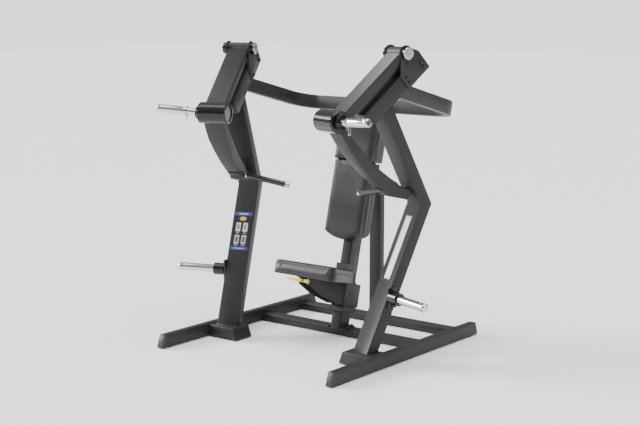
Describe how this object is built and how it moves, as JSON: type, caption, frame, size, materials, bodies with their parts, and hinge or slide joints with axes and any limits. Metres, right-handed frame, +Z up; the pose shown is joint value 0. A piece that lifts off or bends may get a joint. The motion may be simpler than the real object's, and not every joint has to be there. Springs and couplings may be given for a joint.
{
  "type": "plate-loaded seated chest press",
  "caption": "Free-standing gym machine with two converging lever arms that swing from overhead pivots, weight horns, a reclined back pad and a height-adjustable seat.",
  "frame": {"origin": "on the floor, under the centre of the bounding box", "axes": "+Z up; the user faces -Y; +X is the machine's right side in a view along +Y"},
  "size_m": [1.914, 1.493, 1.833],
  "materials": {
    "frame_powder": "satin black powder coat with fine grain",
    "gloss_powder": "gloss black powder coat",
    "chrome": "polished chrome plate",
    "dark_steel": "black oxide steel",
    "grip_rubber": "dense black rubber with a fine texture",
    "feet_rubber": "moulded black rubber",
    "black_plastic": "moulded black plastic",
    "vinyl": "black upholstery vinyl with a fine leather grain",
    "placard": "printed placard with bands of colour",
    "name_plate": "pale brushed aluminium",
    "lever_yellow": "yellow coated lever"
  },
  "bodies": {
    "frame": {"left_base_rail": "frame_powder", "right_base_rail": "frame_powder", "front_crossbar": "frame_powder", "rear_crossbar": "frame_powder", "rail_feet": "feet_rubber", "rail_end_caps": "black_plastic", "left_mast_foot": "frame_powder", "right_mast_foot": "frame_powder", "left_mast": "frame_powder", "right_mast": "frame_powder", "left_head_tube": "frame_powder", "right_head_tube": "frame_powder", "left_pivot_bracket": "frame_powder", "right_pivot_bracket": "frame_powder", "left_bearing_housings": "gloss_powder", "right_bearing_housings": "gloss_powder", "left_pivot_shaft": "chrome", "right_pivot_shaft": "chrome", "left_bumper": "feet_rubber", "right_bumper": "feet_rubber", "left_peg_mount": "gloss_powder", "right_peg_mount": "gloss_powder", "left_storage_peg": "chrome", "right_storage_peg": "chrome", "bow_tube": "frame_powder", "rear_column": "frame_powder", "column_link": "frame_powder", "spine": "frame_powder", "foot_plates": "frame_powder", "seat_stop": "feet_rubber", "frame_bolts": "dark_steel", "upper_back_pad": "vinyl", "lower_back_pad": "vinyl", "back_pad_boards": "black_plastic", "instruction_placard": "placard", "name_plate": "name_plate"},
    "left_arm": {"left_arm_beam": "frame_powder", "left_hub": "gloss_powder", "left_lower_arm": "frame_powder", "left_handle": "chrome", "left_grip": "grip_rubber", "left_weight_horn": "chrome", "left_horn_collar": "gloss_powder"},
    "right_arm": {"right_arm_beam": "frame_powder", "right_hub": "gloss_powder", "right_lower_arm": "frame_powder", "right_handle": "chrome", "right_grip": "grip_rubber", "right_weight_horn": "chrome", "right_horn_collar": "gloss_powder"},
    "left_clip": {"left_spring_clip": "chrome"},
    "right_clip": {"right_spring_clip": "chrome"},
    "seat": {"seat_carriage": "frame_powder", "carriage_bushes": "black_plastic", "seat_board": "black_plastic", "seat_cushion": "vinyl", "lever_pivot": "chrome"},
    "lever": {"seat_lever": "lever_yellow"},
    "pin": {"lock_pin": "chrome"}
  },
  "joints": [
    {"name": "left_press", "type": "hinge", "parent": "frame", "child": "left_arm", "pos_m": [-0.59996, -0.05203, 1.787], "axis": [-0.9426, -0.3338, 0], "range_deg": [0, 48]},
    {"name": "right_press", "type": "hinge", "parent": "frame", "child": "right_arm", "pos_m": [0.59996, -0.05203, 1.787], "axis": [-0.9426, 0.3338, 0], "range_deg": [0, 48]},
    {"name": "left_clip_slide", "type": "slide", "parent": "left_arm", "child": "left_clip", "axis": [-0.9405, -0.333, 0.068], "range_m": [-0.062, 0.181]},
    {"name": "right_clip_slide", "type": "slide", "parent": "right_arm", "child": "right_clip", "axis": [0.9405, -0.333, 0.068], "range_m": [-0.062, 0.181]},
    {"name": "seat_height", "type": "slide", "parent": "frame", "child": "seat", "axis": [0, 0.2453, 0.9694], "range_m": [0, 0.12]},
    {"name": "lever_pull", "type": "hinge", "parent": "seat", "child": "lever", "pos_m": [0.036, -0.17104, 0.41146], "axis": [0, 0.2453, 0.9694], "range_deg": [0, 18], "stiffness_Nm_per_rad": 2},
    {"name": "pin_slide", "type": "slide", "parent": "seat", "child": "pin", "axis": [0, -0.9694, 0.2453], "range_m": [0, 0.015]}
  ],
  "couplings": [
    {"joint": "pin_slide", "follows": "lever_pull", "m_per_rad": 0.047}
  ]
}
